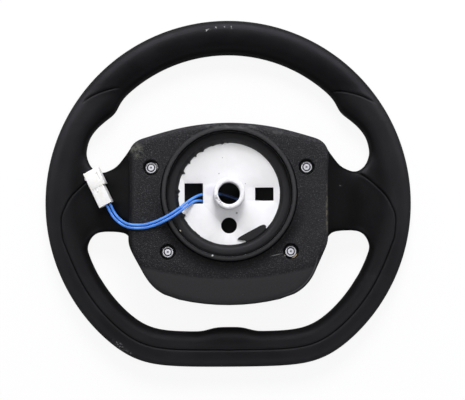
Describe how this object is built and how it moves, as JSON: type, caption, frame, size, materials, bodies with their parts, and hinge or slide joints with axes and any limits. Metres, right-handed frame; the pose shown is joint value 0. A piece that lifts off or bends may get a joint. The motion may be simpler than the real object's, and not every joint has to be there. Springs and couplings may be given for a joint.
{
  "type": "car steering wheel",
  "caption": "Two-spoke car steering wheel with a flat-bottomed foam rim, seen from the column side, with hub plate, rear cover, horn pad and horn leads.",
  "frame": {"origin": "on the shaft's axis, in the face of the hub plate on the column side", "axes": "+Z along the shaft towards the column, +Y towards 12 o'clock, +X to the right seen from the column"},
  "size_m": [0.37, 0.3506, 0.0705],
  "materials": {
    "grip_foam": "self-skinned foam with fine leather grain, scuffed",
    "core_steel": "plain steel rod",
    "plate_steel": "zinc-plated pressing, whitish",
    "boss_steel": "turned and plated",
    "cover_plastic": "textured black moulding, dusty",
    "housing_plastic": "plain black moulding",
    "pad_plastic": "soft black moulding with fine grain",
    "screw_steel": "plated, chipped",
    "washer_steel": "plated",
    "contact_brass": "bare",
    "terminal_tin": "tinned brass",
    "spring_steel": "spring wire",
    "lead_sleeve": "blue sleeve",
    "nylon": "off-white nylon, a little yellowed",
    "nylon_lock": "off-white nylon, a little yellowed",
    "pin_brass": "bare"
  },
  "bodies": {
    "wheel": {"rim_grip": "grip_foam", "rim_core": "core_steel", "hub_plate": "plate_steel", "hub_boss": "boss_steel", "rear_cover": "cover_plastic", "front_housing": "housing_plastic", "cover_screw_1": "screw_steel", "cover_screw_2": "screw_steel", "cover_screw_3": "screw_steel", "cover_screw_4": "screw_steel", "washer_1": "washer_steel", "washer_2": "washer_steel", "washer_3": "washer_steel", "washer_4": "washer_steel", "fixed_contact": "contact_brass", "terminal_a": "terminal_tin", "terminal_b": "terminal_tin", "horn_spring_1": "spring_steel", "horn_spring_2": "spring_steel", "horn_spring_3": "spring_steel", "horn_spring_4": "spring_steel", "lead_a": "lead_sleeve", "lead_b": "lead_sleeve", "connector_housing": "nylon", "connector_lock": "nylon_lock", "pin_a": "pin_brass", "pin_b": "pin_brass"},
    "horn": {"horn_pad": "pad_plastic", "pad_contact": "contact_brass"}
  },
  "joints": [
    {"name": "horn_press", "type": "slide", "parent": "wheel", "child": "horn", "axis": [0, 0, 1], "range_m": [0, 0.0025], "stiffness_N_per_m": 6000, "springref_m": -0.002, "deforming": ["horn_spring_1", "horn_spring_2", "horn_spring_3", "horn_spring_4"]}
  ]
}
